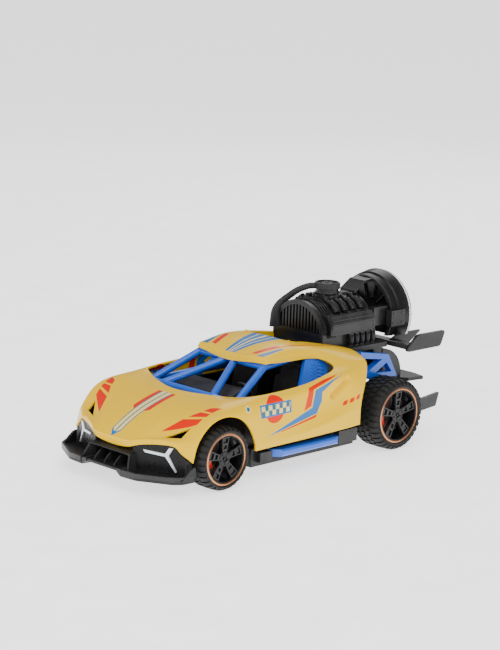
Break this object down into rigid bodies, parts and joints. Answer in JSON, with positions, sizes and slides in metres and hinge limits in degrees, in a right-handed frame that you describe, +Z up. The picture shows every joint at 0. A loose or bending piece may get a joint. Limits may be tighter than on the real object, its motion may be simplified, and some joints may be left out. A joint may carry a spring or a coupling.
{
  "type": "pull back car",
  "caption": "Toy sports car with a tube cage, an engine with filler cap and tail ring, and a pull-back motor geared to its rear axle.",
  "frame": {"origin": "on the ground, under the centre of the bounding box of the whole car", "axes": "+X towards the nose, +Y to the left side of the car, +Z up"},
  "size_m": [0.239, 0.1084, 0.0936],
  "materials": {
    "body_yellow": "high gloss moulded colour with printed stripes",
    "cage_blue": "gloss moulded colour",
    "interior_black": "satin, fine moulded grain",
    "chassis_black": "satin, fine moulded grain",
    "lamp_black": "semi-gloss with a fine embossed mesh",
    "lamp_white": "silver-white printed foil",
    "engine_black": "satin",
    "cap_rubber": "soft satin rubber",
    "ring_clear": "clear moulded plastic",
    "tyre_rubber": "matt rubber",
    "rim_black": "gloss black",
    "ring_copper": "metallic copper print",
    "brake_red": "gloss moulded colour",
    "brake_dark": "satin dark moulding",
    "steel": "drawn wire",
    "gear_nylon": "unpainted nylon",
    "motor_grey": "satin"
  },
  "bodies": {
    "car": {"body_shell": "body_yellow", "roll_cage": "cage_blue", "rear_frame_left": "cage_blue", "rear_frame_right": "cage_blue", "side_step_left": "cage_blue", "side_step_right": "cage_blue", "floor_tub": "interior_black", "dashboard": "interior_black", "steering_wheel": "interior_black", "seat_left": "interior_black", "seat_right": "interior_black", "chassis": "chassis_black", "front_splitter": "chassis_black", "rear_bumper": "chassis_black", "rear_cover": "chassis_black", "engine_cradle": "chassis_black", "lamp_left": "lamp_black", "lamp_right": "lamp_black", "lamp_strip_left": "lamp_white", "lamp_strip_right": "lamp_white", "engine_block": "engine_black", "engine_front_grille": "engine_black", "valve_cover_left": "engine_black", "valve_cover_right": "engine_black", "header_pipes_left": "engine_black", "header_pipes_right": "engine_black", "intake_runners": "engine_black", "filler_neck": "engine_black", "ring_housing": "engine_black", "outlet_nozzle": "engine_black", "rear_wing": "engine_black", "cap_strap": "cap_rubber", "ring_lens": "ring_clear", "brake_calipers": "brake_red", "motor_pins": "steel", "case_screws": "steel", "chassis_screws": "steel", "motor_case_left": "motor_grey", "motor_case_right": "motor_grey"},
    "front_wheels": {"front_axle_rod": "steel", "rim_front_left": "rim_black", "rim_front_right": "rim_black", "trim_ring_front_left": "ring_copper", "trim_ring_front_right": "ring_copper", "tyre_front_left": "tyre_rubber", "tyre_front_right": "tyre_rubber", "brake_discs_front": "brake_dark"},
    "rear_wheels": {"rear_axle_rod": "steel", "rim_rear_left": "rim_black", "rim_rear_right": "rim_black", "trim_ring_rear_left": "ring_copper", "trim_ring_rear_right": "ring_copper", "tyre_rear_left": "tyre_rubber", "tyre_rear_right": "tyre_rubber", "brake_discs_rear": "brake_dark", "axle_gear": "gear_nylon"},
    "idler": {"idler_gear": "gear_nylon"},
    "barrel": {"spring_barrel": "gear_nylon", "mainspring": "steel"},
    "cap": {"filler_cap": "cap_rubber"}
  },
  "joints": [
    {"name": "front_axle_spin", "type": "hinge", "parent": "car", "child": "front_wheels", "pos_m": [0.0755, 0, 0.0176], "axis": [0, 1, 0], "continuous": true},
    {"name": "rear_axle_spin", "type": "hinge", "parent": "car", "child": "rear_wheels", "pos_m": [-0.0595, 0, 0.0206], "axis": [0, 1, 0], "continuous": true},
    {"name": "idler_spin", "type": "hinge", "parent": "car", "child": "idler", "pos_m": [-0.0525, 0, 0.03272], "axis": [0, 1, 0], "continuous": true},
    {"name": "barrel_spin", "type": "hinge", "parent": "car", "child": "barrel", "pos_m": [-0.03981, 0, 0.02681], "axis": [0, 1, 0], "continuous": true},
    {"name": "cap_lift", "type": "slide", "parent": "car", "child": "cap", "axis": [0, 0, 1], "range_m": [0, 0.008], "deforming": ["cap_strap"]}
  ],
  "couplings": [
    {"joint": "idler_spin", "follows": "rear_axle_spin", "ratio": -0.42857},
    {"joint": "barrel_spin", "follows": "rear_axle_spin", "ratio": 0.14286}
  ]
}
